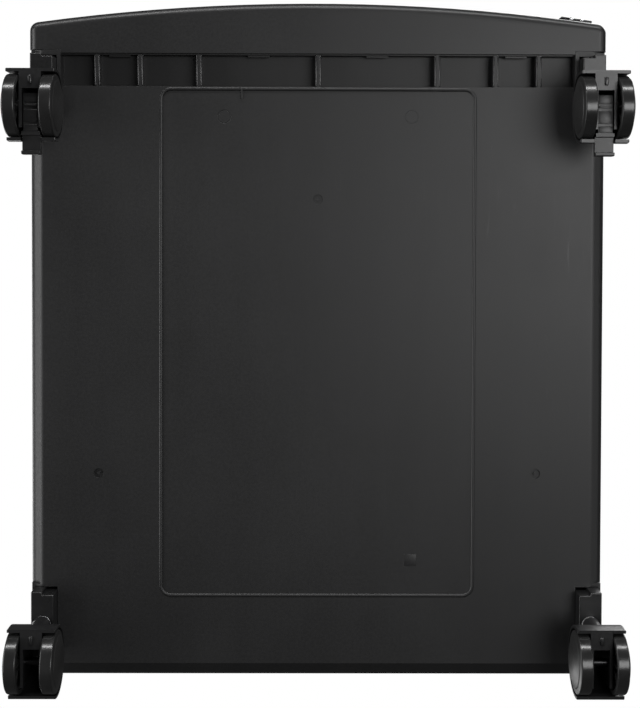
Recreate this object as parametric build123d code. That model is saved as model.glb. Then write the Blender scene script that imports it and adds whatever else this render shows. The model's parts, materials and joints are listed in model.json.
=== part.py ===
from build123d import *
import os
from math import asin, degrees, sqrt

# A rolling caddy for a plant pot: one moulded tray with a bowed front, standing on four small
# twin-wheel swivel casters. Millimetres, +Z up, ground at z = 0. The bowed front faces -Y, and
# left and right are as seen by someone facing it, so left is -X. The origin is on the ground
# under the middle of the caddy.

CLEAR = 1.0                # how far a cut reaches past the face it opens

# ---- Overall sizes ----
WIDTH = 308.0              # outside of the side walls
LENGTH = 362.0             # middle of the bowed front to the outside of the rear wall
TRAY_DEPTH = 38.0          # underside of the floor to the rim
WHEEL_RADIUS = 16.0        # 32 mm casters

# ---- Tray ----
WALL = 2.2
FLOOR = 2.5
EDGE_REACH = 8.0           # sloping bottom edges of both sides and the rear, in from the wall
EDGE_RISE = 4.2            # and up the wall
EDGE_ROUND = 6.0           # where the slope meets the wall
WELL_RADIUS = 5.8          # bottom edges inside the well
CORNER_RADIUS = 12.0       # outside rear corners, in plan
BEAD = 1.2                 # how far the thickened rim stands out of the wall
BEAD_HEIGHT = 4.0
BEAD_ROUND = 1.0
HUMP_LENGTH = 18.8         # crosswise hump behind the fascia, along Y, hollow from below
HUMP_RISE = 9.0            # underside of the floor to the hump's ceiling
HUMP_FOOT_RISE = 2.8       # lower edge of the hump's front wall, above the fascia's flange
HUMP_WALL = 1.8
HUMP_ROOF = 2.2
RIB = 1.7
RIB_FROM_END = (19.5, 42.4, 73.6)   # ribs in the hump, from each end of its channel
RIB_SETBACK = 0.4          # ribs end this far above the floor's underside
PANEL_SIDE_MARGIN = 62.2   # shallow recessed panel under the floor, from the floor's side edges
PANEL_FRONT_MARGIN = 1.2
PANEL_REAR_MARGIN = 36.5
PANEL_CORNER = 5.5
PANEL_DEPTH = 0.45
PANEL_SLOPE = 1.0          # width of the panel's sloping border
GATE_RADIUS = 2.6          # dimple round each moulding gate
GATE_DEPTH = 0.6
NUB_RADIUS = 0.9           # broken-off gate standing in its dimple
FRONT_GATE_SETBACK = 60.0  # from the floor's front edge, on the middle line
SIDE_GATE_INSET = 29.0     # from the floor's side edges
SIDE_GATE_REAR = 102.5     # from the floor's rear edge
PIN_MARK_RADIUS = 3.7      # ring left by an ejector pin
PIN_MARK_WIDTH = 0.5
PIN_MARK_DEPTH = 0.15
PIN_MARK_X = 50.0
PIN_MARK_SETBACK = 16.0

# ---- Fascia ----
FASCIA_DEPTH = 25.9        # back of the fascia to the middle of its bow
BOW_RISE = 11.0            # middle of the bow ahead of its ends
FASCIA_WALL = 2.4
FASCIA_EDGE = 4.5          # rounded bottom edge
FASCIA_CORNER = 5.0        # vertical corners, in plan
LIP = 2.0                  # upturned back edge that clips to the hump
LIP_RISE = 10.0
FLANGE_REACH = 1.2         # bottom flange under the foot of the hump's front wall
CORNER_STEP = 0.4          # the tray's front corners reach this far past the fascia's back
FIT_GAP = 0.1              # between the fascia and the tray
BARB_WIDTH = 11.6
BARB_HEIGHT = 3.6
BARB_REACH = 0.9           # past the inside of the hump's wall
BARB_RISE = 4.4            # above the floor's underside
WINDOW_GAP = 0.3           # round a barb in its window
BADGE_WIDTH = 16.0
BADGE_HEIGHT = 9.0
BADGE_THICK = 1.7
BADGE_CORNER = 3.0
BADGE_ROUND = 0.6
BADGE_END_INSET = 14.4     # middle of the badge from the fascia's right end
BADGE_RISE = 17.0          # middle of the badge above the floor's underside

# ---- Caster mounts ----
STEM_SIDE_INSET = 8.8      # stem axis inside the tray's side
FRONT_STEM_BEHIND = 0.8    # stem axis behind the floor's front edge
REAR_STEM_INSET = 32.0     # stem axis inside the rear wall's outside
FOOT_DROP = 10.1           # how far the foot stands below the floor
FOOT_WIDTH = 12.0
FOOT_LENGTH = 34.2
FOOT_STEP = 1.5            # inner half of the foot's front edge is set back
FOOT_WALL = 1.8
FOOT_ROUND = 0.6
POCKET_RISE = 16.0         # underside of the floor to the ceiling of a foot's pocket
POCKET_GAP = 0.15          # round the foot in the tray's pocket
POCKET_WALL = 2.0
SLEEVE_RADIUS = 4.5
SLEEVE_END = 0.8           # closed upper end of the sleeve
SLEEVE_GAP = 0.03          # sleeve in the foot

# ---- Caster ----
TREAD_WIDTH = 6.2
WHEEL_SPACE = 12.0         # between the two treads
TREAD_ROUND = 0.8
DOME = 2.5                 # outer face of a wheel beyond its tread
CAP_STEP = 0.4             # ring step round the outer face
CAP_INSET = 3.2            # that step inside the tread's radius
CAP_FLAT = 2.4             # radius of the flat in the middle of the outer face
WHEEL_RIM = 2.4
WHEEL_WEB = 2.4
HUB_RADIUS = 4.2
AXLE_RADIUS = 2.0
RUN_GAP = 0.05             # radial clearance of a running fit
PRESS_GAP = 0.02           # radial clearance of a pressed pin
SIDE_GAP = 0.4             # between a wheel and the cheek beside it
HOOD_WIDTH = 24.8
HOOD_WALL = 1.6
ARCH_GAP = 0.8             # between a tread and the hood's arch
HOOD_FRONT_DROP = 6.3      # lower edge of the hood's front wall, below the axle
HOOD_REAR_DROP = 4.0       # lower edge of the hood's arch at the rear, below the axle
HOOD_ROUND = 0.6
CHEEK = 1.5                # the two plates that carry the axle
CHEEK_SETBACK = 5.4        # rear edge of the cheeks inside the arch
STEM_WALL = 3.1            # hood ahead of the stem
STEM_BLOCK = 4.0           # solid block for the stem, behind the stem axis
STEM_FLOOR = 4.6           # hood under the stem's lower end
BOSS_RADIUS = 4.7
BOSS_RISE = 1.2            # boss above the top of the arch
STEM_RADIUS = 3.0
COLLAR_RADIUS = 4.3
COLLAR = 1.0
SWIVEL_GAP = 0.3           # collar to the foot's face
STEM_TOP_GAP = 0.3         # stem to the sleeve's closed end
RING_BELOW_TOP = 4.5       # grip ring, lower than the stem's tip
RING_HEIGHT = 2.1
RING_RADIUS = 3.5
RING_PLAY = 0.2
RING_GROOVE = 0.6          # depth of the stem's groove
RING_ROOM = 0.35           # sleeve's groove beyond the ring
RING_OPENING = 2.0         # gap of the split ring

# ---- Brake pedal, on the front casters ----
LEVER_SLOT_GAP = 0.35      # each side of the lever, between the cheeks
LEVER_FRONT_GAP = 2.0      # between the stem block and the lever
LEVER_BELOW = 4.4          # underside of the lever below the axle
LEVER_THICK = 2.6
TAB_GAP = 1.8              # tab behind the cheeks, so that it clears them when pressed
TAB_REACH = 6.6            # tab behind the outside of the arch
TAB_WIDTH = 9.7
TAB_LIFT = 2.6             # tab's plate above the lever's
TAB_LIP = 2.0
TAB_ROUND = 0.7
TAB_WINDOW_GAP = 0.4       # round the tab in the hood's rear window
WINDOW_ABOVE_AXLE = 3.6

# ---- Places that follow from the sizes above ----
AXLE_Z = WHEEL_RADIUS
ARCH_INSIDE = WHEEL_RADIUS + ARCH_GAP
ARCH_OUTSIDE = ARCH_INSIDE + HOOD_WALL
TRAIL = ARCH_OUTSIDE - STEM_RADIUS - STEM_WALL
STEM_FOOT = AXLE_Z - HOOD_FRONT_DROP + STEM_FLOOR
BOSS_TOP = AXLE_Z + ARCH_OUTSIDE + BOSS_RISE
COLLAR_TOP = BOSS_TOP + COLLAR
FOOT_FACE = COLLAR_TOP + SWIVEL_GAP
FLOOR_Z = FOOT_FACE + FOOT_DROP
RIM_Z = FLOOR_Z + TRAY_DEPTH
CEILING_Z = FLOOR_Z + HUMP_RISE
LEDGE_Z = CEILING_Z + HUMP_ROOF
POCKET_CEILING = FLOOR_Z + POCKET_RISE
POST_TOP = POCKET_CEILING + HUMP_ROOF

FRONT = -LENGTH / 2
REAR = LENGTH / 2
FASCIA_BACK = FRONT + FASCIA_DEPTH
FLOOR_FRONT = FASCIA_BACK + HUMP_LENGTH
TRAY_FRONT = FASCIA_BACK - CORNER_STEP
SIDE = WIDTH / 2
FLOOR_SIDE = SIDE - EDGE_REACH
FLOOR_REAR = REAR - EDGE_REACH
BOW_RADIUS = (SIDE ** 2 + BOW_RISE ** 2) / (2 * BOW_RISE)

STEM_X = SIDE - STEM_SIDE_INSET
FRONT_STEM_Y = FLOOR_FRONT + FRONT_STEM_BEHIND
REAR_STEM_Y = REAR - REAR_STEM_INSET
POCKET_INSIDE = STEM_X - FOOT_WIDTH / 2 - POCKET_GAP
POCKET_OUTSIDE = STEM_X + FOOT_WIDTH / 2 + POCKET_GAP
POCKET_REACH = FOOT_LENGTH / 2 + POCKET_GAP
CHANNEL_END = POCKET_INSIDE - POCKET_WALL

FOOT_TOP = POCKET_CEILING - POCKET_GAP
SLEEVE_TOP = FOOT_TOP - FOOT_WALL / 2
STEM_TOP = SLEEVE_TOP - SLEEVE_END - STEM_TOP_GAP
RING_TOP = STEM_TOP - RING_BELOW_TOP
RING_FOOT = RING_TOP - RING_HEIGHT

CHEEK_OUTSIDE = WHEEL_SPACE / 2 - SIDE_GAP
CHEEK_INSIDE = CHEEK_OUTSIDE - CHEEK
TREAD_OUTSIDE = WHEEL_SPACE / 2 + TREAD_WIDTH
CHEEK_REACH = ARCH_INSIDE - CHEEK_SETBACK
LEVER_HALF = CHEEK_INSIDE - LEVER_SLOT_GAP
LEVER_FRONT = TRAIL - STEM_BLOCK - LEVER_FRONT_GAP
TAB_START = CHEEK_REACH + TAB_GAP
TAB_END = ARCH_OUTSIDE + TAB_REACH


def block(x, y, z):
    """A block that fills three (low, high) spans."""
    size = [high - low for low, high in (x, y, z)]
    middle = [(low + high) / 2 for low, high in (x, y, z)]
    return Pos(*middle) * Box(*size)


def both_sides(piece):
    """The piece and its mirror image across the middle of the caddy."""
    return piece + mirror(piece, about=Plane.YZ)


def rod(radius, low, high):
    """An upright cylinder on the stem axis."""
    return Pos(0, 0, (low + high) / 2) * Cylinder(radius, high - low)


# ---- Tray ----

def tray_block(grow, front, low, high):
    """A block with the tray's plan, grown all round behind a flat front."""
    middle = Pos(0, (front + REAR + grow) / 2)
    plan = middle * Rectangle(WIDTH + 2 * grow, REAR + grow - front)
    plan = fillet(plan.vertices().sort_by(Axis.Y)[-2:], CORNER_RADIUS + grow)
    return Pos(0, 0, low) * extrude(plan, high - low)


def without_front(edges):
    """The edges of a level outline, apart from the one across its front."""
    return edges.sort_by(Axis.Y)[1:]


def tray_shell():
    """Walls, floor and beaded rim, before the hump is hollowed."""
    body = tray_block(0, TRAY_FRONT, FLOOR_Z, RIM_Z)
    base = body.faces().sort_by(Axis.Z)[0]
    body = chamfer(without_front(base.edges()), EDGE_REACH, EDGE_RISE, reference=base)
    shoulder = body.edges().filter_by_position(Axis.Z, FLOOR_Z + EDGE_RISE, FLOOR_Z + EDGE_RISE)
    body = fillet(without_front(shoulder), EDGE_ROUND)
    bead = tray_block(BEAD, TRAY_FRONT, RIM_Z - BEAD_HEIGHT, RIM_Z)
    bead = fillet(without_front(bead.faces().sort_by(Axis.Z)[0].edges()), BEAD_ROUND)
    bead = fillet(without_front(bead.faces().sort_by(Axis.Z)[-1].edges()), BEAD_ROUND)
    well = tray_block(-WALL, FLOOR_FRONT + HUMP_WALL, FLOOR_Z + FLOOR, RIM_Z + CLEAR)
    well_foot = without_front(well.faces().sort_by(Axis.Z)[0].edges())
    well = fillet(well_foot, WELL_RADIUS)
    hump_y = (TRAY_FRONT - CLEAR, FLOOR_FRONT + HUMP_WALL + CLEAR)
    over_hump = block((WALL - SIDE, SIDE - WALL), hump_y, (LEDGE_Z, RIM_Z + CLEAR))
    return body + bead - well - over_hump


def rib_places():
    """Where the ribs stand along X: one in the middle, the rest in pairs."""
    return [0.0] + [side * (CHANNEL_END - d) for d in RIB_FROM_END for side in (-1, 1)]


def barb_places():
    """Where the fascia's barbs clip in: mid-way in two wide and two narrow cells of the hump."""
    near_end, next_in, inner = [CHANNEL_END - d for d in RIB_FROM_END]
    return [side * x for x in (inner / 2, (near_end + next_in) / 2) for side in (-1, 1)]


def hump_channel():
    """The space inside the hump, open from below and crossed by its ribs."""
    wall_back = FASCIA_BACK + FIT_GAP + HUMP_WALL
    span_y = (wall_back, FLOOR_FRONT)
    channel = block((-CHANNEL_END, CHANNEL_END), span_y, (FLOOR_Z - CLEAR, CEILING_Z))
    for x in rib_places():
        channel -= block((x - RIB / 2, x + RIB / 2), span_y, (FLOOR_Z + RIB_SETBACK, CEILING_Z))
    under_wall = (FLOOR_Z - CLEAR, FLOOR_Z + HUMP_FOOT_RISE)
    return channel + block((-CHANNEL_END, CHANNEL_END), (FASCIA_BACK, wall_back), under_wall)


def barb_windows():
    """Openings in the hump's front wall for the fascia's barbs."""
    half = BARB_WIDTH / 2 + WINDOW_GAP
    low = FLOOR_Z + BARB_RISE - WINDOW_GAP
    high = FLOOR_Z + BARB_RISE + BARB_HEIGHT + WINDOW_GAP
    span_y = (FASCIA_BACK, FASCIA_BACK + FIT_GAP + HUMP_WALL + CLEAR)
    return [block((x - half, x + half), span_y, (low, high)) for x in barb_places()]


def pocket(stem_y):
    """The space for a foot, open from below."""
    span_y = (stem_y - POCKET_REACH, stem_y + POCKET_REACH)
    return both_sides(block((POCKET_INSIDE, POCKET_OUTSIDE), span_y, (FLOOR_Z - CLEAR, POCKET_CEILING)))


def pilaster(stem_y):
    """The walls of a foot's pocket, standing in the well against the side wall."""
    reach = POCKET_REACH + POCKET_WALL
    post_y = (max(stem_y - reach, TRAY_FRONT), stem_y + reach)
    return both_sides(block((CHANNEL_END, SIDE - WALL / 2), post_y, (FLOOR_Z + FLOOR / 2, POST_TOP)))


def floor_panel():
    """The shallow panel recessed in the floor's underside, with a sloping border."""
    front = FLOOR_FRONT + PANEL_FRONT_MARGIN
    rear = FLOOR_REAR - PANEL_REAR_MARGIN
    width = 2 * (FLOOR_SIDE - PANEL_SIDE_MARGIN)
    mouth = RectangleRounded(width, rear - front, PANEL_CORNER)
    inset = 2 * PANEL_SLOPE
    ceiling = RectangleRounded(width - inset, rear - front - inset, PANEL_CORNER - PANEL_SLOPE)
    middle = (front + rear) / 2
    return loft([Pos(0, middle, FLOOR_Z) * mouth, Pos(0, middle, FLOOR_Z + PANEL_DEPTH) * ceiling])


def moulding_marks(tray):
    """Gate dimples with their nubs, and the rings that two ejector pins left."""
    rear_gate_y = FLOOR_REAR - SIDE_GATE_REAR
    side_gate_x = FLOOR_SIDE - SIDE_GATE_INSET
    gates = [(0, FLOOR_FRONT + FRONT_GATE_SETBACK)] + [(side * side_gate_x, rear_gate_y) for side in (-1, 1)]
    for x, y in gates:
        dimple = rod(GATE_RADIUS, FLOOR_Z - CLEAR, FLOOR_Z + PANEL_DEPTH + GATE_DEPTH)
        nub = rod(NUB_RADIUS, FLOOR_Z + PANEL_DEPTH, FLOOR_Z + FLOOR / 2)
        tray = tray - Pos(x, y) * dimple + Pos(x, y) * nub
    for x in (-PIN_MARK_X, PIN_MARK_X):
        top = FLOOR_Z + PANEL_DEPTH + PIN_MARK_DEPTH
        outer = rod(PIN_MARK_RADIUS, FLOOR_Z, top)
        ring = outer - rod(PIN_MARK_RADIUS - PIN_MARK_WIDTH, FLOOR_Z, top)
        tray -= Pos(x, FLOOR_FRONT + PIN_MARK_SETBACK) * ring
    return tray


def make_tray():
    """The tray, with its hump, foot pockets, floor panel and moulding marks."""
    tray = tray_shell() + pilaster(FRONT_STEM_Y) + pilaster(REAR_STEM_Y)
    ahead_of_hump = (TRAY_FRONT - CLEAR, FASCIA_BACK + FIT_GAP)
    tray -= block((-CHANNEL_END, CHANNEL_END), ahead_of_hump, (FLOOR_Z - CLEAR, RIM_Z))
    tray -= hump_channel()
    for window in barb_windows():
        tray -= window
    tray -= pocket(FRONT_STEM_Y)
    tray -= pocket(REAR_STEM_Y)
    tray -= floor_panel()
    return moulding_marks(tray)


# ---- Fascia and badge ----

def bow_y(x, grow=0.0):
    """Front face of the fascia at x, or that of a copy grown by a wall."""
    return FRONT + BOW_RADIUS - sqrt((BOW_RADIUS + grow) ** 2 - x ** 2)


def fascia_block(grow, back, low, high):
    """A block with the fascia's plan: flat back, straight ends and a bowed front."""
    half = SIDE + grow
    left_front = (-half, bow_y(half, grow))
    right_front = (half, bow_y(half, grow))
    bow = ThreePointArc(left_front, (0, FRONT - grow), right_front)
    sides = Polyline(right_front, (half, back), (-half, back), left_front)
    plan = make_face(bow + sides)
    plan = fillet(plan.vertices().sort_by(Axis.Y)[:2], FASCIA_CORNER + grow)
    return Pos(0, 0, low) * extrude(plan, high - low)


def without_back(edges):
    """The edges of a level outline, apart from the one across its back."""
    return edges.sort_by(Axis.Y)[:-1]


def barb(x):
    """A wedge that snaps through a window of the hump."""
    reach = FIT_GAP + HUMP_WALL + BARB_REACH
    nose = BARB_HEIGHT / 4
    root = -LIP / 2
    corners = [(root, 0), (reach, 0), (reach, nose), (FIT_GAP, BARB_HEIGHT), (root, BARB_HEIGHT), (root, 0)]
    outline = Plane.YZ * make_face(Polyline(*corners))
    return Pos(x, FASCIA_BACK, FLOOR_Z + BARB_RISE) * extrude(outline, BARB_WIDTH / 2, both=True)


def make_front_fascia():
    """Bowed front moulding: face, ends, bottom flange and the lip that clips to the hump."""
    body = fascia_block(0, FASCIA_BACK, FLOOR_Z, RIM_Z)
    body = fillet(without_back(body.faces().sort_by(Axis.Z)[0].edges()), FASCIA_EDGE)
    bead = fascia_block(BEAD, FASCIA_BACK, RIM_Z - BEAD_HEIGHT, RIM_Z)
    bead = fillet(without_back(bead.faces().sort_by(Axis.Z)[0].edges()), BEAD_ROUND)
    bead = fillet(without_back(bead.faces().sort_by(Axis.Z)[-1].edges()), BEAD_ROUND)
    body += bead
    body -= fascia_block(-FASCIA_WALL, FASCIA_BACK - LIP, FLOOR_Z + FASCIA_WALL, RIM_Z + CLEAR)
    back = FASCIA_BACK + CLEAR
    body -= block((-SIDE, SIDE), (FASCIA_BACK - LIP - CLEAR, back), (FLOOR_Z + LIP_RISE, RIM_Z + CLEAR))
    end_x = (CHANNEL_END - FIT_GAP, SIDE + BEAD + CLEAR)
    body -= both_sides(block(end_x, (TRAY_FRONT - FIT_GAP, back), (FLOOR_Z - CLEAR, RIM_Z + CLEAR)))
    flange_x = CHANNEL_END - FIT_GAP
    flange_y = (FASCIA_BACK - LIP, FASCIA_BACK + FLANGE_REACH)
    body += block((-flange_x, flange_x), flange_y, (FLOOR_Z, FLOOR_Z + FASCIA_WALL))
    for x in barb_places():
        body += barb(x)
    return body


def make_badge():
    """A blank plate stuck to the bowed face near its right end."""
    x = SIDE - BADGE_END_INSET
    turn = degrees(asin(x / BOW_RADIUS))
    plate = extrude(RectangleRounded(BADGE_WIDTH, BADGE_HEIGHT, BADGE_CORNER), BADGE_THICK)
    plate = fillet(plate.faces().sort_by(Axis.Z)[-1].edges(), BADGE_ROUND)
    return Pos(x, bow_y(x), FLOOR_Z + BADGE_RISE) * Rot(0, 0, turn) * Rot(90, 0, 0) * plate


# ---- Caster mounts, with the stem axis at x = y = 0 ----

def make_foot(side):
    """A moulded block that plugs into the tray's pocket and stands below its floor."""
    half_x = FOOT_WIDTH / 2
    half_y = FOOT_LENGTH / 2
    body = block((-half_x, half_x), (-half_y, half_y), (FOOT_FACE, FOOT_TOP))
    inner_half = sorted((0, -side * (half_x + CLEAR)))
    body -= block(inner_half, (-half_y - CLEAR, FOOT_STEP - half_y), (FOOT_FACE - CLEAR, FOOT_TOP + CLEAR))
    body = fillet(body.faces().sort_by(Axis.Z)[0].edges(), FOOT_ROUND)
    core_x = half_x - FOOT_WALL
    core_y = (SLEEVE_RADIUS + FOOT_WALL, half_y - FOOT_WALL - FOOT_STEP)
    for core in (core_y, (-core_y[1], -core_y[0])):
        body -= block((-core_x, core_x), core, (FOOT_FACE + FOOT_WALL, FOOT_TOP + CLEAR))
    return body - rod(SLEEVE_RADIUS + SLEEVE_GAP, FOOT_FACE - CLEAR, SLEEVE_TOP + SLEEVE_GAP)


def make_sleeve():
    """Steel socket pressed into the foot, closed at the top and grooved for the grip ring."""
    bore = rod(STEM_RADIUS + RUN_GAP, FOOT_FACE - CLEAR, SLEEVE_TOP - SLEEVE_END)
    groove = rod(RING_RADIUS + RING_ROOM, RING_FOOT - RING_ROOM, RING_TOP + RING_ROOM)
    return rod(SLEEVE_RADIUS, FOOT_FACE, SLEEVE_TOP) - bore - groove


# ---- Caster, with the stem axis at x = y = 0 and trailing towards +Y ----

def make_stem():
    """Steel stem with the collar that carries the load and a groove for the grip ring."""
    stem = rod(STEM_RADIUS, STEM_FOOT, STEM_TOP)
    stem = chamfer(stem.edges().sort_by(Axis.Z)[-1], STEM_RADIUS / 3)
    collar = rod(COLLAR_RADIUS, BOSS_TOP, COLLAR_TOP)
    groove = rod(STEM_RADIUS + CLEAR, RING_FOOT - RING_PLAY, RING_TOP + RING_PLAY)
    groove -= rod(STEM_RADIUS - RING_GROOVE, RING_FOOT - RING_PLAY, RING_TOP + RING_PLAY)
    return stem + collar - groove


def make_grip_ring():
    """Split spring ring in the stem's groove."""
    inside = STEM_RADIUS - RING_GROOVE + PRESS_GAP
    ring = rod(RING_RADIUS, RING_FOOT, RING_TOP) - rod(inside, RING_FOOT, RING_TOP)
    opening_y = (0, RING_RADIUS + CLEAR)
    opening_z = (RING_FOOT - CLEAR, RING_TOP + CLEAR)
    return ring - block((-RING_OPENING / 2, RING_OPENING / 2), opening_y, opening_z)


def arch_outline(radius, front_drop, rear_drop):
    """Side view of the hood's arch, round the axle, with a straight front."""
    front_foot = (-radius, -front_drop)
    rear_foot = (sqrt(radius ** 2 - rear_drop ** 2), -rear_drop)
    arch = ThreePointArc((-radius, 0), (0, radius), rear_foot)
    base = Polyline(rear_foot, front_foot, (-radius, 0))
    return Pos(0, TRAIL, AXLE_Z) * (Plane.YZ * make_face(arch + base))


def hood_arch():
    """The mudguard over both wheels, with its front wall, open at both sides."""
    half = HOOD_WIDTH / 2
    arch = extrude(arch_outline(ARCH_OUTSIDE, HOOD_FRONT_DROP, HOOD_REAR_DROP), half, both=True)
    side_edges = arch.faces().sort_by(Axis.X)[0].edges() + arch.faces().sort_by(Axis.X)[-1].edges()
    arch = fillet(side_edges, HOOD_ROUND)
    below = HOOD_FRONT_DROP + CLEAR
    return arch - extrude(arch_outline(ARCH_INSIDE, below, below), half + CLEAR, both=True)


def hood_cheeks():
    """The two plates between the wheels that hold the axle, and the block that holds the stem."""
    lift = HOOD_WALL / 2
    outline = arch_outline(ARCH_INSIDE + lift, HOOD_FRONT_DROP, HOOD_FRONT_DROP)
    inside = extrude(outline, CHEEK_OUTSIDE, both=True)
    rear_end = TRAIL + ARCH_OUTSIDE
    behind = block((-HOOD_WIDTH, HOOD_WIDTH), (TRAIL + CHEEK_REACH, rear_end), (0, AXLE_Z + ARCH_OUTSIDE))
    slot = block((-CHEEK_INSIDE, CHEEK_INSIDE), (STEM_BLOCK, rear_end), (0, AXLE_Z + ARCH_INSIDE))
    return inside - behind - slot


def make_hood(braked):
    """One moulding: mudguard, cheeks, stem block and boss, bored for the stem and the axle."""
    across = Pos(0, TRAIL, AXLE_Z) * Rot(0, 90, 0)
    boss = rod(BOSS_RADIUS, AXLE_Z, BOSS_TOP) - across * Cylinder(ARCH_INSIDE, HOOD_WIDTH)
    hood = hood_arch() + hood_cheeks() + boss
    hood -= rod(STEM_RADIUS + PRESS_GAP, STEM_FOOT, BOSS_TOP + CLEAR)
    if braked:
        tab_half = TAB_WIDTH / 2 + TAB_WINDOW_GAP
        window_y = (TRAIL + CHEEK_REACH, TRAIL + ARCH_OUTSIDE + CLEAR)
        hood -= block((-tab_half, tab_half), window_y, (0, AXLE_Z + WINDOW_ABOVE_AXLE))
    return hood - across * Cylinder(AXLE_RADIUS + PRESS_GAP, HOOD_WIDTH)


def make_axle():
    """Steel pin through both cheeks, a running fit in the two wheels."""
    half = TREAD_OUTSIDE - SIDE_GAP
    pin = Cylinder(AXLE_RADIUS, 2 * half)
    pin = chamfer(pin.faces().sort_by(Axis.Z)[0].edges() + pin.faces().sort_by(Axis.Z)[-1].edges(), SIDE_GAP)
    return Pos(0, TRAIL, AXLE_Z) * Rot(0, 90, 0) * pin


def make_right_wheel():
    """One-piece wheel: tread, domed outer face, and a hub that stands in its hollow inner side."""
    inside = WHEEL_SPACE / 2
    outside = TREAD_OUTSIDE
    web = outside - WHEEL_WEB
    rim = WHEEL_RADIUS - WHEEL_RIM
    bore = AXLE_RADIUS + RUN_GAP
    cap = WHEEL_RADIUS - CAP_INSET
    flat = CAP_FLAT
    sides = Polyline(
        (outside + DOME, flat), (outside + DOME, 0), (outside, 0), (outside, bore), (inside, bore),
        (inside, HUB_RADIUS), (web, HUB_RADIUS), (web, rim), (inside, rim), (inside, WHEEL_RADIUS),
        (outside, WHEEL_RADIUS), (outside + CAP_STEP, cap + CAP_STEP), (outside + 2 * CAP_STEP, cap),
    )
    bulge = (outside + DOME - CAP_STEP, (cap + flat) / 2)
    profile = make_face(sides + ThreePointArc((outside + 2 * CAP_STEP, cap), bulge, (outside + DOME, flat)))
    tread_edges = [v for v in profile.vertices() if abs(v.Y - WHEEL_RADIUS) < TREAD_ROUND / 2]
    profile = fillet(tread_edges, TREAD_ROUND)
    return Pos(0, TRAIL, AXLE_Z) * revolve(profile, Axis.X)


def make_brake_pedal():
    """Lever between the cheeks, pivoting on the axle, with a tab for the toe behind the hood."""
    bottom = -LEVER_BELOW
    top = bottom + LEVER_THICK
    arm = block((-LEVER_HALF, LEVER_HALF), (-LEVER_FRONT, TAB_START + TAB_LIP / 2), (bottom, top))
    arm = fillet(arm.edges().filter_by(Axis.X).sort_by(Axis.Y)[:2], LEVER_THICK / 3)
    hub = Rot(0, 90, 0) * Cylinder(HUB_RADIUS, 2 * LEVER_HALF)
    plate = block((-TAB_WIDTH / 2, TAB_WIDTH / 2), (TAB_START, TAB_END), (bottom + TAB_LIFT, top + TAB_LIFT))
    lip = block((-TAB_WIDTH / 2, TAB_WIDTH / 2), (TAB_END - TAB_LIP, TAB_END), (bottom, top + TAB_LIFT))
    heel = block((-TAB_WIDTH / 2, TAB_WIDTH / 2), (TAB_START, TAB_START + TAB_LIP), (bottom, top + TAB_LIFT))
    tab = plate + lip + heel
    tab = fillet(tab.faces().sort_by(Axis.Y)[-1].edges(), TAB_ROUND)
    bore = Rot(0, 90, 0) * Cylinder(AXLE_RADIUS + RUN_GAP, 4 * LEVER_HALF)
    return Pos(0, TRAIL, AXLE_Z) * (arm + hub + tab - bore)


def caster_places():
    """Name and stem axis of each caster, with the side it is on."""
    rows = (("front", FRONT_STEM_Y), ("rear", REAR_STEM_Y))
    sides = (("left", -1), ("right", 1))
    return [(f"{row}_{side}", sign, sign * STEM_X, y) for row, y in rows for side, sign in sides]


def make_caddy():
    """Every node of the caddy, by name, in its place."""
    nodes = {"tray": make_tray(), "front_fascia": make_front_fascia(), "front_badge": make_badge()}
    right_wheel = make_right_wheel()
    caster = {
        "socket_sleeve": make_sleeve(),
        "stem": make_stem(),
        "grip_ring": make_grip_ring(),
        "axle": make_axle(),
        "wheel_right": right_wheel,
        "wheel_left": mirror(right_wheel, about=Plane.YZ),
    }
    pedal = make_brake_pedal()
    hoods = {"front": make_hood(braked=True), "rear": make_hood(braked=False)}
    for place, sign, x, y in caster_places():
        nodes[f"{place}_foot"] = Pos(x, y) * make_foot(sign)
        nodes[f"{place}_hood"] = Pos(x, y) * hoods[place.split("_")[0]]
        for name, piece in caster.items():
            nodes[f"{place}_{name}"] = Pos(x, y) * piece
        if place.startswith("front"):
            nodes[f"{place}_brake_pedal"] = Pos(x, y) * pedal
    return nodes


os.makedirs("parts", exist_ok=True)
for node_name, node in make_caddy().items():
    export_step(node, f"parts/{node_name}.step")
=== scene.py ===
import bmesh
import bpy
import json
import math
from mathutils import Matrix, Vector

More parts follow.
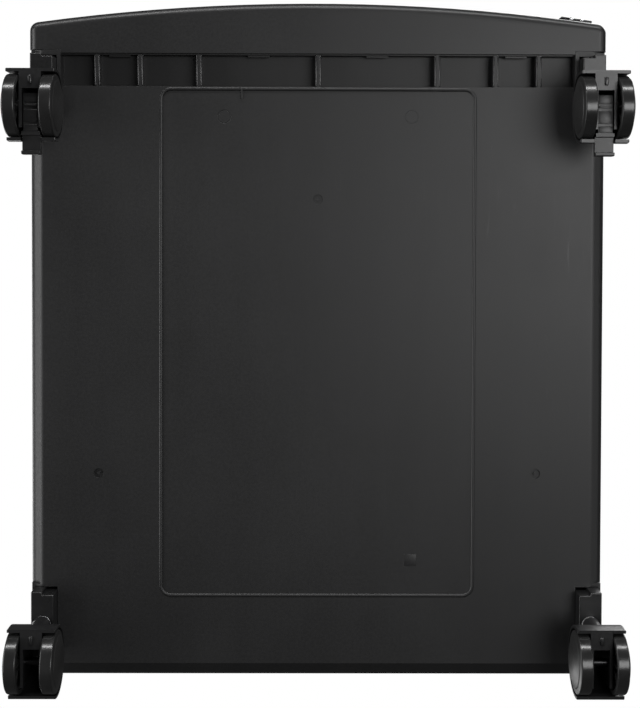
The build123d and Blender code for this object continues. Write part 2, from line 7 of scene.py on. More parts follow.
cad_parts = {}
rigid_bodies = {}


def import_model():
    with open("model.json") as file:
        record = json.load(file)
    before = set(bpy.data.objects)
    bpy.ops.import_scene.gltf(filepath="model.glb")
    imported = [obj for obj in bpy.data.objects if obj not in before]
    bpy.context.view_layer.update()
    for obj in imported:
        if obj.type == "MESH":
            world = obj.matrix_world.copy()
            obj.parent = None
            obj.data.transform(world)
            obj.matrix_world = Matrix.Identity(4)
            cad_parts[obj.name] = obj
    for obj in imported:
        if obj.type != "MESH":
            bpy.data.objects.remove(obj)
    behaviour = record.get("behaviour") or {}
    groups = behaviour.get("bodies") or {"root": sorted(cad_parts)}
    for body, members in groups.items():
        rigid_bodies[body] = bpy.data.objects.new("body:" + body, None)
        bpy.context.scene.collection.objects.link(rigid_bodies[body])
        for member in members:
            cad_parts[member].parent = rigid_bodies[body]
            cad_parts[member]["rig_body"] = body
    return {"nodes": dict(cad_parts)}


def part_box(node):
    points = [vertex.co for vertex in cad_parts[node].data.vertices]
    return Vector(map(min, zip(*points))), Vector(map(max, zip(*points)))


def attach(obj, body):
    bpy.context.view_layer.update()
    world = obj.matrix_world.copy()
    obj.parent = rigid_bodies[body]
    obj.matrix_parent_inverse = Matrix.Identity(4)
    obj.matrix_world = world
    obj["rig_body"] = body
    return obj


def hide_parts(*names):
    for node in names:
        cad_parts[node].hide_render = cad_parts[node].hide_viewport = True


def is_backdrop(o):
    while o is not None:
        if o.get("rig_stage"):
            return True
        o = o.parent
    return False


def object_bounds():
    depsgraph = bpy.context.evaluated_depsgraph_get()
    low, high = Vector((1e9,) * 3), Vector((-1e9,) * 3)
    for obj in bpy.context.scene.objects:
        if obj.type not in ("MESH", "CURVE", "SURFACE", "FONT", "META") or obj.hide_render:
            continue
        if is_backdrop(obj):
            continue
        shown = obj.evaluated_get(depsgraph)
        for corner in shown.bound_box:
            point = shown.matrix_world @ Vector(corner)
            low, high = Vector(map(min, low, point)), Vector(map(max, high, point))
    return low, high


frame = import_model()
cad_low, cad_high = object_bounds()


# ---- Tray ----
# One injection moulding in black polypropylene: floor, walls, beaded rim and a hollow hump behind the
# front. The tool leaves a fine satin grain, faint flow streaks and slightly softened edges everywhere.

def moulding_from(node, piece_name, edge, steps=2):
    """A copy of a CAD node with welded faces and softened edges, standing for that node."""
    flat, gentle, corner_like, hard = (math.radians(angle) for angle in (0.4, 18, 32, 55))
    cad = frame["nodes"][node]
    mesh = cad.data.copy()
    mesh.name = piece_name
    shape = bmesh.new()
    shape.from_mesh(mesh)
    bmesh.ops.remove_doubles(shape, verts=shape.verts, dist=1e-6)
    bmesh.ops.dissolve_limit(
        shape, angle_limit=flat, verts=shape.verts, edges=shape.edges, use_dissolve_boundaries=False
    )
    creases = [e for e in shape.edges if len(e.link_faces) == 2 and e.calc_face_angle(0) > gentle]
    sharp = [e for e in creases if e.calc_face_angle(0) > corner_like]
    for e in set(creases) - set(sharp):
        e.smooth = False
    bmesh.ops.bevel(
        shape, geom=sharp, offset=edge, offset_type="OFFSET", segments=steps, profile=0.5,
        affect="EDGES", clamp_overlap=True, harden_normals=False,
    )
    for face in shape.faces:
        face.smooth = True
    for e in shape.edges:
        if len(e.link_faces) == 2 and e.calc_face_angle(0) > hard:
            e.smooth = False
    shape.to_mesh(mesh)
    shape.free()
    mesh.materials.clear()
    piece = bpy.data.objects.new(piece_name, mesh)
    bpy.context.scene.collection.objects.link(piece)
    flatten = piece.modifiers.new("flatten", "WEIGHTED_NORMAL")
    flatten.mode = "FACE_AREA_WITH_ANGLE"
    flatten.weight = 100
    flatten.keep_sharp = True
    view_layer = bpy.context.evaluated_depsgraph_get()
    finished = bpy.data.meshes.new_from_object(piece.evaluated_get(view_layer), depsgraph=view_layer)
    piece.modifiers.clear()
    piece.data = finished
    finished.name = piece_name
    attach(piece, cad["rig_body"])
    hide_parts(node)
    return piece


def new_material(name):
    """An empty node material with its shader and output joined."""
    material = bpy.data.materials.new(name)
    material.use_nodes = True
    nodes = material.node_tree.nodes
    links = material.node_tree.links
    return material, nodes, links, nodes["Principled BSDF"]


def add_noise(nodes, links, place, scale, detail=3.0, rough=0.55, stretch=(1, 1, 1)):
    """A noise on the piece's own coordinates, stretched along an axis if wanted."""
    mapping = nodes.new("ShaderNodeMapping")
    mapping.inputs["Scale"].default_value = stretch
    links.new(place, mapping.inputs["Vector"])
    noise = nodes.new("ShaderNodeTexNoise")
    noise.inputs["Scale"].default_value = scale
    noise.inputs["Detail"].default_value = detail
    noise.inputs["Roughness"].default_value = rough
    links.new(mapping.outputs["Vector"], noise.inputs["Vector"])
    return noise.outputs["Fac"]


def add_range(nodes, links, value, low, high, from_low=0.3, from_high=0.7):
    """A value spread over a new range."""
    spread = nodes.new("ShaderNodeMapRange")
    spread.inputs["From Min"].default_value = from_low
    spread.inputs["From Max"].default_value = from_high
    spread.inputs["To Min"].default_value = low
    spread.inputs["To Max"].default_value = high
    links.new(value, spread.inputs["Value"])
    return spread.outputs["Result"]


def add_math(nodes, links, kind, a, b):
    """One arithmetic step on two values, each a socket or a number."""
    step = nodes.new("ShaderNodeMath")
    step.operation = kind
    for socket, value in zip(step.inputs, (a, b)):
        if isinstance(value, (int, float)):
            socket.default_value = value
        else:
            links.new(value, socket)
    return step.outputs["Value"]


def add_bump(nodes, links, shader, height, strength, distance):
    """Fine relief on a shader, from a height pattern."""
    bump = nodes.new("ShaderNodeBump")
    bump.inputs["Strength"].default_value = strength
    bump.inputs["Distance"].default_value = distance
    links.new(height, bump.inputs["Height"])
    links.new(bump.outputs["Normal"], shader.inputs["Normal"])


def add_scratches(nodes, links, place, turn, scale, width):
    """Sparse hair scratches: thin ridges of a strongly stretched noise, kept only in patches."""
    mapping = nodes.new("ShaderNodeMapping")
    mapping.inputs["Rotation"].default_value = (0, 0, turn)
    mapping.inputs["Scale"].default_value = (1, 0.03, 0.2)
    links.new(place, mapping.inputs["Vector"])
    hair = nodes.new("ShaderNodeTexNoise")
    hair.inputs["Scale"].default_value = scale
    hair.inputs["Detail"].default_value = 1.0
    links.new(mapping.outputs["Vector"], hair.inputs["Vector"])
    centred = add_math(nodes, links, "SUBTRACT", hair.outputs["Fac"], 0.5)
    ridge = add_math(nodes, links, "ABSOLUTE", centred, 0)
    line = add_range(nodes, links, ridge, 1.0, 0.0, 0.0, width)
    patch = add_range(nodes, links, add_noise(nodes, links, place, 14, 2.0), 0.0, 1.0, 0.52, 0.66)
    return add_math(nodes, links, "MULTIPLY", line, patch)


def black_plastic(name, shade, rough, grain=2600.0, grain_depth=0.00002, streak=0.0, wear=0.3):
    """Carbon-black moulded plastic: satin grain, cloudy gloss, faint flow streaks and hair scratches."""
    material, nodes, links, shader = new_material(name)
    place = nodes.new("ShaderNodeTexCoord").outputs["Object"]
    cloud = add_noise(nodes, links, place, 16, 4.0)
    flow = add_noise(nodes, links, place, 60, 3.0, 0.6, (1.0, 0.08, 1.0))
    fine = add_noise(nodes, links, place, grain, 2.0)
    mottle = add_noise(nodes, links, place, 700, 2.0)
    scratch = add_math(
        nodes, links, "MAXIMUM",
        add_scratches(nodes, links, place, 0.5, 240, 0.004),
        add_scratches(nodes, links, place, -1.1, 200, 0.004),
    )
    tone = add_range(nodes, links, cloud, shade * 0.93, shade * 1.09)
    for change in (
        add_range(nodes, links, mottle, -shade * 0.08, shade * 0.10),
        add_range(nodes, links, flow, -streak * shade, streak * shade),
        add_math(nodes, links, "MULTIPLY", scratch, shade * 0.5 * wear),
    ):
        tone = add_math(nodes, links, "ADD", tone, change)
    colour = nodes.new("ShaderNodeCombineColor")
    blue = add_math(nodes, links, "MULTIPLY", tone, 1.03)
    links.new(tone, colour.inputs["Red"])
    links.new(tone, colour.inputs["Green"])
    links.new(blue, colour.inputs["Blue"])
    links.new(colour.outputs["Color"], shader.inputs["Base Color"])
    gloss = add_range(nodes, links, cloud, rough - 0.02, rough + 0.025)
    gloss = add_math(nodes, links, "ADD", gloss, add_range(nodes, links, mottle, -0.022, 0.022))
    polish = add_math(nodes, links, "MULTIPLY", scratch, 0.10 * wear)
    gloss = add_math(nodes, links, "SUBTRACT", gloss, polish)
    links.new(gloss, shader.inputs["Roughness"])
    height = fine
    for pattern, share in ((mottle, 0.4), (flow, streak * 2.0), (scratch, -0.8 * wear)):
        height = add_math(nodes, links, "ADD", height, add_math(nodes, links, "MULTIPLY", pattern, share))
    add_bump(nodes, links, shader, height, 0.6, grain_depth)
    shader.inputs["Specular IOR Level"].default_value = 0.5
    shader.inputs["IOR"].default_value = 1.49
    return material


tray_black = black_plastic("tray_black_polypropylene", 0.0098, 0.45, streak=0.10, wear=0.8)
tray = moulding_from("tray", "tray_moulding", edge=0.00035, steps=2)
tray.data.materials.append(tray_black)


# ---- Front fascia ----
# The bowed front is a moulding of its own, clipped to the hump. Its tool was polished a little finer, so
# its bottom flange is smoother than the tray's floor and its rounded edge takes a clear highlight.

fascia_black = black_plastic("fascia_black_polypropylene", 0.0105, 0.41, streak=0.04, wear=0.5)
fascia = moulding_from("front_fascia", "fascia_moulding", edge=0.00035, steps=2)
fascia.data.materials.append(fascia_black)


# ---- Badge ----
# A blank chromed plate stuck to the face near its right end, with fine polishing haze.

def add_metal_tint(nodes, links, shader, pattern, dark, light):
    """A bare metal whose colour goes from dark to light with a pattern."""
    tint = nodes.new("ShaderNodeMix")
    tint.data_type = "RGBA"
    tint.inputs["A"].default_value = dark
    tint.inputs["B"].default_value = light
    links.new(pattern, tint.inputs["Factor"])
    links.new(tint.outputs["Result"], shader.inputs["Base Color"])
    shader.inputs["Metallic"].default_value = 1.0


chrome, nodes, links, shader = new_material("badge_chromed")
place = nodes.new("ShaderNodeTexCoord").outputs["Object"]
haze = add_noise(nodes, links, place, 500, 4.0, 0.6, (1, 1, 6))
add_metal_tint(nodes, links, shader, haze, (0.78, 0.78, 0.80, 1), (0.88, 0.88, 0.89, 1))
links.new(add_range(nodes, links, haze, 0.08, 0.2), shader.inputs["Roughness"])
badge = moulding_from("front_badge", "badge_plate", edge=0.00012, steps=2)
badge.data.materials.append(chrome)


# ---- Badge frame ----
# A glossy black plastic frame stands round the plate and holds it to the bowed face.

def rounded_slab(name, spans, edge, body, material):
    """A small moulded block that fills three (low, high) spans in metres, with rounded edges."""
    shape = bmesh.new()
    bmesh.ops.create_cube(shape, size=1.0)
    for vertex in shape.verts:
        for axis, (low, high) in enumerate(spans):
            vertex.co[axis] = low if vertex.co[axis] < 0 else high
    bmesh.ops.bevel(
        shape, geom=list(shape.edges), offset=edge, offset_type="OFFSET", segments=3, profile=0.5,
        affect="EDGES", clamp_overlap=True,
    )
    bmesh.ops.recalc_face_normals(shape, faces=shape.faces)
    for face in shape.faces:
        face.smooth = True
    mesh = bpy.data.meshes.new(name)
    shape.to_mesh(mesh)
    shape.free()
    mesh.materials.append(material)
    piece = bpy.data.objects.new(name, mesh)
    bpy.context.scene.collection.objects.link(piece)
    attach(piece, body)
    return piece


badge_low, badge_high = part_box("front_badge")
badge_middle = (badge_low + badge_high) / 2
face_turn = math.radians(8.1)
face_out = Vector((math.sin(face_turn), -math.cos(face_turn), 0))
along_face = Matrix.Rotation(face_turn, 4, "Z")
frame_bar, frame_depth, frame_sink = 0.0011, 0.0028, 0.0008
half_width, half_height = 0.0084, 0.0052
full_width, full_height = (-half_width, half_width), (-half_height, half_height)
frame_bars = (
    (full_width, (-half_height, frame_bar - half_height)),
    (full_width, (half_height - frame_bar, half_height)),
    ((-half_width, frame_bar - half_width), full_height),
    ((half_width - frame_bar, half_width), full_height),
)
frame_black = black_plastic("badge_frame_black", 0.006, 0.18, grain=3200.0, grain_depth=0.000008, wear=0.3)
span_y = (frame_sink - frame_depth, frame_sink)
for number, (span_x, span_z) in enumerate(frame_bars, 1):
    spans = (span_x, span_y, span_z)
    bar = rounded_slab(f"badge_frame_bar_{number}", spans, 0.0004, "tray", frame_black)
    bar.data.transform(Matrix.Translation(badge_middle) @ along_face)


# ---- Badge rivets ----
# Two domed, chromed rivets pin the frame from below.

def new_tree(name, counts, lengths):
    """An empty node tree with whole-number inputs, length inputs and one geometry output."""
    tree = bpy.data.node_groups.new(name, "GeometryNodeTree")
    tree.interface.new_socket("Geometry", in_out="OUTPUT", socket_type="NodeSocketGeometry")
    for label in counts:
        tree.interface.new_socket(label, in_out="INPUT", socket_type="NodeSocketInt")
    for label in lengths:
        tree.interface.new_socket(label, in_out="INPUT", socket_type="NodeSocketFloat")
    return tree, tree.nodes, tree.links, tree.nodes.new("NodeGroupInput").outputs


def finish_tree(tree, geometry, material):
    """The end of a tree: its instances are made real and take one material."""
    nodes, links = tree.nodes, tree.links
    realize = nodes.new("GeometryNodeRealizeInstances")
    links.new(geometry, realize.inputs["Geometry"])
    dress = nodes.new("GeometryNodeSetMaterial")
    dress.inputs["Material"].default_value = material
    links.new(realize.outputs["Geometry"], dress.inputs["Geometry"])
    links.new(dress.outputs["Geometry"], nodes.new("NodeGroupOutput").inputs["Geometry"])
    return tree


def grown_piece(name, tree, sizes, place, body):
    """A piece whose mesh is grown by a node tree with these sizes, then moved to its place."""
    piece = bpy.data.objects.new(name, bpy.data.meshes.new(f"{name}_start"))
    bpy.context.scene.collection.objects.link(piece)
    grow = piece.modifiers.new("grow", "NODES")
    grow.node_group = tree
    for item in tree.interface.items_tree:
        if item.name in sizes and item.in_out == "INPUT":
            grow[item.identifier] = sizes[item.name]
    view_layer = bpy.context.evaluated_depsgraph_get()
    mesh = bpy.data.meshes.new_from_object(piece.evaluated_get(view_layer), depsgraph=view_layer)
    piece.modifiers.clear()
    mesh.transform(place)
    piece.data = mesh
    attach(piece, body)
    return piece


def rivet_row_tree(material):
    """Domed rivets along X, centred on their row's first one."""
    tree, nodes, links, given = new_tree("rivet_row", ("Count",), ("Spacing", "Radius", "Height"))
    step = nodes.new("ShaderNodeCombineXYZ")
    links.new(given["Spacing"], step.inputs["X"])
    row = nodes.new("GeometryNodeMeshLine")
    links.new(given["Count"], row.inputs["Count"])
    links.new(step.outputs["Vector"], row.inputs["Offset"])
    ball = nodes.new("GeometryNodeMeshUVSphere")
    ball.inputs["Segments"].default_value = 32
    ball.inputs["Rings"].default_value = 20
    ball.inputs["Radius"].default_value = 1.0
    smooth = nodes.new("GeometryNodeSetShadeSmooth")
    links.new(ball.outputs["Mesh"], smooth.inputs["Geometry"])
    size = nodes.new("ShaderNodeCombineXYZ")
    for label, axis in (("Radius", "X"), ("Height", "Y"), ("Radius", "Z")):
        links.new(given[label], size.inputs[axis])
    spread = nodes.new("GeometryNodeInstanceOnPoints")
    links.new(row.outputs["Mesh"], spread.inputs["Points"])
    links.new(smooth.outputs["Geometry"], spread.inputs["Instance"])
    links.new(size.outputs["Vector"], spread.inputs["Scale"])
    return finish_tree(tree, spread.outputs["Instances"], material)


rivet_sizes = {"Count": 2, "Spacing": 0.0056, "Radius": 0.0012, "Height": 0.0011}
rivet_middle = badge_middle + face_out * 0.0012 + Vector((0, 0, -half_height))
first_rivet = Matrix.Translation((-rivet_sizes["Spacing"] / 2, 0, 0))
rivet_place = Matrix.Translation(rivet_middle) @ along_face @ first_rivet
grown_piece("badge_rivets", rivet_row_tree(chrome), rivet_sizes, rivet_place, "tray")


# ---- Feet ----
# Four moulded blocks plugged into the tray's corners. They carry the caster stems.

corners = [f"{row}_{side}" for row in ("front", "rear") for side in ("left", "right")]
foot_black = black_plastic("foot_black_plastic", 0.010, 0.30, wear=0.4)
for corner in corners:
    foot = moulding_from(f"{corner}_foot", f"{corner}_foot_block", edge=0.0004, steps=2)
    foot.data.materials.append(foot_black)


# ---- Steel stems, sleeves, rings and axles ----
# Turned steel: stems, sleeves and rings are zinc plated, the axle pins are blackened.

def turned_steel(name, dark, light):
    """Turned steel with fine turning marks round the upright axis, between two shades."""
    material, nodes, links, shader = new_material(name)
    place = nodes.new("ShaderNodeTexCoord").outputs["Object"]
    marks = add_noise(nodes, links, place, 900, 3.0, 0.6, (0.15, 0.15, 3.0))
    stain = add_noise(nodes, links, place, 120, 3.0)
    dark_tint, light_tint = ((tone, tone, tone * 1.02, 1) for tone in (dark, light))
    add_metal_tint(nodes, links, shader, stain, dark_tint, light_tint)
    links.new(add_range(nodes, links, marks, 0.22, 0.40), shader.inputs["Roughness"])
    add_bump(nodes, links, shader, marks, 0.4, 0.00002)
    return material


zinc = turned_steel("zinc_plated_steel", 0.50, 0.74)
black_oxide = turned_steel("black_oxide_steel", 0.025, 0.05)
finishes = {"socket_sleeve": zinc, "stem": zinc, "grip_ring": zinc, "axle": black_oxide}
for corner in corners:
    for part, finish in finishes.items():
        rod = moulding_from(f"{corner}_{part}", f"{corner}_{part}_steel", edge=0.0001, steps=1)
        rod.data.materials.append(finish)


# ---- Hoods ----
# Black nylon mudguard and fork in one moulding, glossier than the tray.

hood_black = black_plastic("hood_black_nylon", 0.014, 0.30, grain=3200.0, grain_depth=0.000012, wear=0.5)
for corner in corners:
    hood = moulding_from(f"{corner}_hood", f"{corner}_hood_moulding", edge=0.0005, steps=3)
    hood.data.materials.append(hood_black)


# ---- Gate scars on the hoods ----
# Where the nylon was fed in, each hood keeps a small oval bead under its stem block.

half_wide, half_long, before_stem = 0.0010, 0.0022, 0.0005
for corner in corners:
    stem_low, stem_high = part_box(f"{corner}_stem")
    middle_x = (stem_low.x + stem_high.x) / 2
    middle_y = (stem_low.y + stem_high.y) / 2 - before_stem
    face_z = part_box(f"{corner}_hood")[0].z
    spans = (
        (middle_x - half_wide, middle_x + half_wide), (middle_y - half_long, middle_y + half_long),
        (face_z - 0.0008, face_z + 0.0005),
    )
    rounded_slab(f"{corner}_gate_scar", spans, 0.0006, f"{corner}_swivel", hood_black)


# ---- Wheels ----
# One-piece nylon wheels with a hard, smooth tread that is polished and scuffed by rolling. Their domed
# sides keep the satin of the tool.

def wheel_nylon(name):
    """Black nylon, glossy and scuffed round the tread and satin on the domed sides."""
    material, nodes, links, shader = new_material(name)
    place = nodes.new("ShaderNodeTexCoord").outputs["Object"]
    cloud = add_noise(nodes, links, place, 90, 3.0)
    scuff = add_noise(nodes, links, place, 700, 3.0, 0.6, (3.0, 0.4, 0.4))
    tone = add_range(nodes, links, cloud, 0.013, 0.018)
    colour = nodes.new("ShaderNodeCombineColor")
    for channel in ("Red", "Green", "Blue"):
        links.new(tone, colour.inputs[channel])
    links.new(colour.outputs["Color"], shader.inputs["Base Color"])
    outward = nodes.new("ShaderNodeSeparateXYZ")
    links.new(nodes.new("ShaderNodeTexCoord").outputs["Normal"], outward.inputs["Vector"])
    dome = add_math(nodes, links, "ABSOLUTE", outward.outputs["X"], 0)
    dome = add_range(nodes, links, dome, 0.0, 0.22, 0.3, 0.6)
    gloss = add_math(nodes, links, "ADD", add_range(nodes, links, cloud, 0.16, 0.22),
                     add_range(nodes, links, scuff, 0.0, 0.06))
    links.new(add_math(nodes, links, "ADD", gloss, dome), shader.inputs["Roughness"])
    add_bump(nodes, links, shader, scuff, 0.25, 0.00001)
    return material


wheel_black = wheel_nylon("wheel_black_nylon")
for corner in corners:
    for side in ("left", "right"):
        wheel_node = f"{corner}_wheel_{side}"
        wheel = moulding_from(wheel_node, f"{wheel_node}_nylon", edge=0.00015, steps=1)
        wheel.data.materials.append(wheel_black)


# ---- Ribs inside the wheels ----
# Radial ribs stiffen each wheel between its hub and its rim, on the hollow side that faces the fork.

def wheel_rib_tree(material):
    """Flat ribs spread evenly round an upright axis, from the hub to the rim."""
    lengths = ("Hub Radius", "Rim Radius", "Thickness", "Depth")
    tree, nodes, links, given = new_tree("wheel_ribs", ("Count",), lengths)
    both_radii = add_math(nodes, links, "ADD", given["Hub Radius"], given["Rim Radius"])
    middle_radius = add_math(nodes, links, "MULTIPLY", both_radii, 0.5)
    reach = add_math(nodes, links, "SUBTRACT", given["Rim Radius"], given["Hub Radius"])
    circle = nodes.new("GeometryNodeMeshCircle")
    links.new(given["Count"], circle.inputs["Vertices"])
    links.new(middle_radius, circle.inputs["Radius"])
    size = nodes.new("ShaderNodeCombineXYZ")
    links.new(reach, size.inputs["X"])
    links.new(given["Thickness"], size.inputs["Y"])
    links.new(given["Depth"], size.inputs["Z"])
    rib = nodes.new("GeometryNodeMeshCube")
    links.new(size.outputs["Vector"], rib.inputs["Size"])
    outward = nodes.new("FunctionNodeAlignRotationToVector")
    outward.axis = "X"
    links.new(nodes.new("GeometryNodeInputPosition").outputs["Position"], outward.inputs["Vector"])
    spread = nodes.new("GeometryNodeInstanceOnPoints")
    links.new(circle.outputs["Mesh"], spread.inputs["Points"])
    links.new(rib.outputs["Mesh"], spread.inputs["Instance"])
    links.new(outward.outputs["Rotation"], spread.inputs["Rotation"])
    return finish_tree(tree, spread.outputs["Instances"], material)


rib_tree = wheel_rib_tree(wheel_black)
rib_sizes = {"Count": 8, "Hub Radius": 0.0040, "Rim Radius": 0.0138, "Thickness": 0.0009, "Depth": 0.0032}
rib_inset = 0.0009
to_axle = Matrix.Rotation(math.radians(90), 4, "Y")
for corner in corners:
    for side, sign in (("left", -1), ("right", 1)):
        wheel_node = f"{corner}_wheel_{side}"
        low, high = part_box(wheel_node)
        inner_face = low.x if sign > 0 else high.x
        rib_x = inner_face + sign * (rib_inset + rib_sizes["Depth"] / 2)
        rib_middle = Vector((rib_x, (low.y + high.y) / 2, (low.z + high.z) / 2))
        rib_place = Matrix.Translation(rib_middle) @ to_axle
        grown_piece(f"{wheel_node}_ribs", rib_tree, rib_sizes, rib_place, wheel_node)


# ---- Brake pedals ----
# Toe levers of the two front casters, in the same nylon as the hoods but with a matt grain.

pedal_black = black_plastic("pedal_black_nylon", 0.013, 0.36, wear=1.0)
for corner in corners[:2]:
    pedal = moulding_from(f"{corner}_brake_pedal", f"{corner}_brake_pedal_lever", edge=0.0002, steps=2)
    pedal.data.materials.append(pedal_black)


# ---- Plates under the brake levers ----
# The lever's underside is stepped: pads with gaps between them and a low bead at the axle.

pads = (
    ("front_pad", -0.0060, -0.0014, 0.00045), ("axle_bead", -0.0006, 0.0007, 0.0008),
    ("middle_pad", 0.0021, 0.0086, 0.00045), ("rear_pad", 0.0098, 0.0130, 0.00045),
)
half_pad, pad_overlap = 0.0034, 0.0002
for corner in corners[:2]:
    axle_low, axle_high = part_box(f"{corner}_axle")
    middle = (axle_low + axle_high) / 2
    lever_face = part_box(f"{corner}_brake_pedal")[0].z
    for pad, start, end, depth in pads:
        spans = (
            (middle.x - half_pad, middle.x + half_pad), (middle.y + start, middle.y + end),
            (lever_face - depth + pad_overlap, lever_face + 0.0006),
        )
        rounded_slab(f"{corner}_brake_{pad}", spans, 0.0002, f"{corner}_brake", pedal_black)


# ---- Small marks under the floor ----
# The tool left a raised tick near the front edge and the square seat of an inserted pin near the rear.

floor_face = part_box("tray")[0].z
panel_depth = 0.00045
marks = (
    ("tick", (-0.0412, -0.0403), (-0.1349, -0.1298), -0.0005),
    ("square_seat", (0.0470, 0.0534), (0.1141, 0.1205), panel_depth - 0.00008),
)
for mark, span_x, span_y, above_floor in marks:
    spans = (span_x, span_y, (floor_face + above_floor, floor_face + 0.0008))
    rounded_slab(f"floor_{mark}", spans, 0.0001, "tray", tray_black)


# ---- Rib edges in the channel ----
# Each rib across the channel behind the front ends in two rounded edges, which take the light from the
# sides. The tool polished them glossier, and their plastic is painted lighter than the floor's as a
# painted highlight.

rib_face = floor_face + 0.0004
rib_places = [0.0] + [sign * x for x in (0.06345, 0.09465, 0.11755) for sign in (-1, 1)]
half_edge = 0.0005
# Same plastic as the tray, painted lighter (0.013 against 0.0098) as a painted highlight on the rib edges;
# the lower roughness is their gloss.
rib_edge_painted_highlight = black_plastic("rib_edge_polished_painted_highlight", 0.013, 0.24, wear=0.3)
for number, rib_x in enumerate(rib_places, 1):
    for side, offset in (("left", -0.00105), ("right", 0.00105)):
        span_x = (rib_x + offset - half_edge, rib_x + offset + half_edge)
        spans = (span_x, (-0.1529, -0.1365), (rib_face - 0.0003, rib_face + 0.0007))
        rounded_slab(f"rib_{number}_edge_{side}", spans, 0.00045, "tray", rib_edge_painted_highlight)


# ---- Joint line round the floor's panel ----
# The steel insert that shaped the panel left a low rounded line along its joint.

def joint_line_tree(material):
    """A round bar bent along a level rectangle with rounded corners, centred on the origin."""
    tree, nodes, links, given = new_tree("joint_line", (), ("Width", "Length", "Corner", "Bar Radius"))
    outline = nodes.new("GeometryNodeCurvePrimitiveQuadrilateral")
    links.new(given["Width"], outline.inputs["Width"])
    links.new(given["Length"], outline.inputs["Height"])
    rounding = nodes.new("GeometryNodeFilletCurve")
    rounding.mode = "POLY"
    rounding.inputs["Count"].default_value = 8
    links.new(outline.outputs["Curve"], rounding.inputs["Curve"])
    links.new(given["Corner"], rounding.inputs["Radius"])
    bar = nodes.new("GeometryNodeCurvePrimitiveCircle")
    bar.inputs["Resolution"].default_value = 24
    links.new(given["Bar Radius"], bar.inputs["Radius"])
    sweep = nodes.new("GeometryNodeCurveToMesh")
    links.new(rounding.outputs["Curve"], sweep.inputs["Curve"])
    links.new(bar.outputs["Curve"], sweep.inputs["Profile Curve"])
    smooth = nodes.new("GeometryNodeSetShadeSmooth")
    links.new(sweep.outputs["Mesh"], smooth.inputs["Geometry"])
    return finish_tree(tree, smooth.outputs["Geometry"], material)


line_tree = joint_line_tree(tray_black)
line_sizes = {"Width": 0.1674, "Length": 0.2714, "Corner": 0.0055, "Bar Radius": 0.0011}
panel_middle_y, line_sink = 0.0007, 0.0007
line_place = Matrix.Translation((0, panel_middle_y, floor_face + line_sink))
grown_piece("floor_joint_line", line_tree, line_sizes, line_place, "tray")


# ---- Stage ----
# Pale floor under the casters. Seen from below it lets the view through, and a white sheet above the
# caddy, which is seen only from below, is then the background.

def one_way_sheet(name, height, half, colour, clear_from_below):
    """A level sheet that is clear from one of its two sides, throws no shadow and isn't reflected."""
    mesh = bpy.data.meshes.new(name)
    corners_xy = [(-half, -half), (half, -half), (half, half), (-half, half)]
    mesh.from_pydata([(x, y, height) for x, y in corners_xy], [], [(0, 1, 2, 3)])
    sheet = bpy.data.objects.new(name, mesh)
    bpy.context.scene.collection.objects.link(sheet)
    material, nodes, links, _ = new_material(f"{name}_finish")
    nodes.clear()
    output = nodes.new("ShaderNodeOutputMaterial")
    mix = nodes.new("ShaderNodeMixShader")
    clear = nodes.new("ShaderNodeBsdfTransparent")
    geometry = nodes.new("ShaderNodeNewGeometry")
    if clear_from_below:
        paint = nodes.new("ShaderNodeBsdfDiffuse")
        paint.inputs["Color"].default_value = colour
        haze = nodes.new("ShaderNodeEmission")
        haze.inputs["Color"].default_value = colour
        haze.inputs["Strength"].default_value = 0.8
        surface = nodes.new("ShaderNodeAddShader")
        links.new(paint.outputs[0], surface.inputs[0])
        links.new(haze.outputs[0], surface.inputs[1])
        first, second = surface, clear
    else:
        surface = nodes.new("ShaderNodeEmission")
        surface.inputs["Color"].default_value = colour
        first, second = clear, surface
    links.new(geometry.outputs["Backfacing"], mix.inputs["Fac"])
    links.new(first.outputs[0], mix.inputs[1])
    links.new(second.outputs[0], mix.inputs[2])
    links.new(mix.outputs[0], output.inputs["Surface"])
    mesh.materials.append(material)
    sheet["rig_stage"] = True
    sheet.visible_shadow = False
    sheet.visible_diffuse = False
    sheet.visible_glossy = False


one_way_sheet("floor", -0.0002, 4.0, (0.5, 0.5, 0.5, 1), True)
one_way_sheet("white_ceiling", cad_high.z + 1.5, 1.2, (1.0, 1.0, 1.0, 1), False)


def soft_light(name, at, towards, width, length, power):
    """A rectangular studio light aimed at a point."""
    data = bpy.data.lights.new(name, "AREA")
    data.shape = "RECTANGLE"
    data.size = width
    data.size_y = length
    data.energy = power
    lamp = bpy.data.objects.new(name, data)
    bpy.context.scene.collection.objects.link(lamp)
    lamp.location = at
    lamp.rotation_euler = (Vector(towards) - Vector(at)).to_track_quat("-Z", "Y").to_euler()


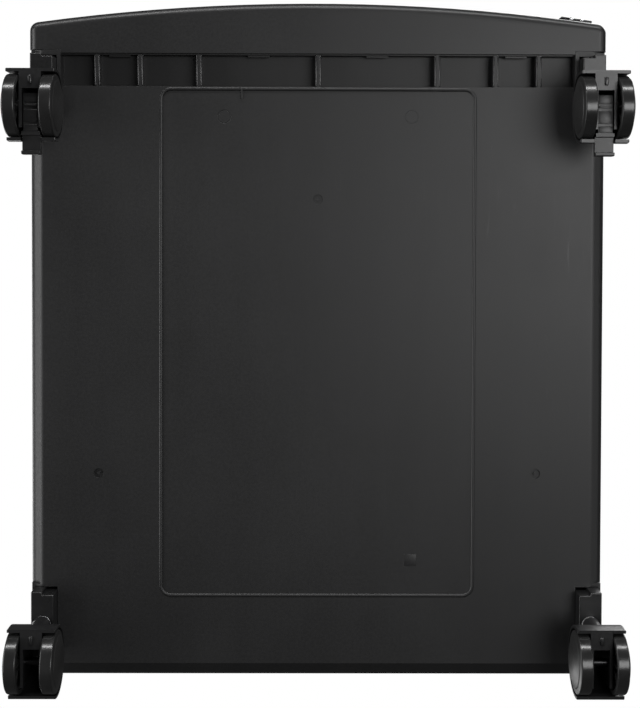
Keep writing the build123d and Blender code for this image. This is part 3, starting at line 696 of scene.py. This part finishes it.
centre = (cad_low + cad_high) / 2
soft_light("top_key", (0.9, -0.9, 1.5), centre, 0.9, 0.9, 24)
soft_light("top_fill", (-1.1, 0.6, 1.2), centre, 1.2, 1.2, 14)
soft_light("under_key", (0.62, -0.14, -1.15), (0.05, 0, 0.04), 0.5, 0.8, 7.6)
soft_light("under_front", (0, -1.3, -0.42), centre, 1.8, 0.10, 17)
soft_light("under_left", (-1.0, 0.0, -0.36), centre, 1.1, 0.45, 8)
soft_light("under_right", (1.0, 0.0, -0.40), centre, 1.1, 0.2, 1)

world = bpy.data.worlds.new("studio")
bpy.context.scene.world = world
world.use_nodes = True
nodes, links = world.node_tree.nodes, world.node_tree.links
seen = nodes.new("ShaderNodeLightPath").outputs["Is Camera Ray"]
nodes["Background"].inputs["Color"].default_value = (1, 1, 1, 1)
links.new(add_range(nodes, links, seen, 0.06, 0.6, 0.0, 1.0), nodes["Background"].inputs["Strength"])
bpy.context.scene.view_settings.view_transform = "Standard"


# ---- Camera ----
# It stands under the caddy, near its front, and looks almost straight up.

def camera_turn(pitch, yaw, roll):
    """Camera rotation from three small turns away from looking straight up with the front on top."""
    about_x = Matrix.Rotation(pitch, 3, "X")
    about_y = Matrix.Rotation(yaw, 3, "Y")
    about_z = Matrix.Rotation(roll, 3, "Z")
    into_view = (about_z @ about_y @ about_x).transposed()
    to_blender = Matrix(((1, 0, 0), (0, -1, 0), (0, 0, -1)))
    return (into_view @ to_blender).to_4x4()


picture_height = 708
focal_length_in_rows = 1280.9
camera_data = bpy.data.cameras.new("camera")
camera_data.sensor_fit = "AUTO"
camera_data.sensor_width = 36.0
camera_data.lens = focal_length_in_rows / picture_height * camera_data.sensor_width
camera_data.shift_y = -0.16
camera_data.clip_start = 0.01
camera_data.clip_end = 20
camera = bpy.data.objects.new("camera", camera_data)
bpy.context.scene.collection.objects.link(camera)
camera_place = Matrix.Translation((-0.0026178, -0.0698113, -0.6366332))
camera.matrix_world = camera_place @ camera_turn(0.0227, -0.0056, 0.003)
bpy.context.scene.camera = camera

low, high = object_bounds()
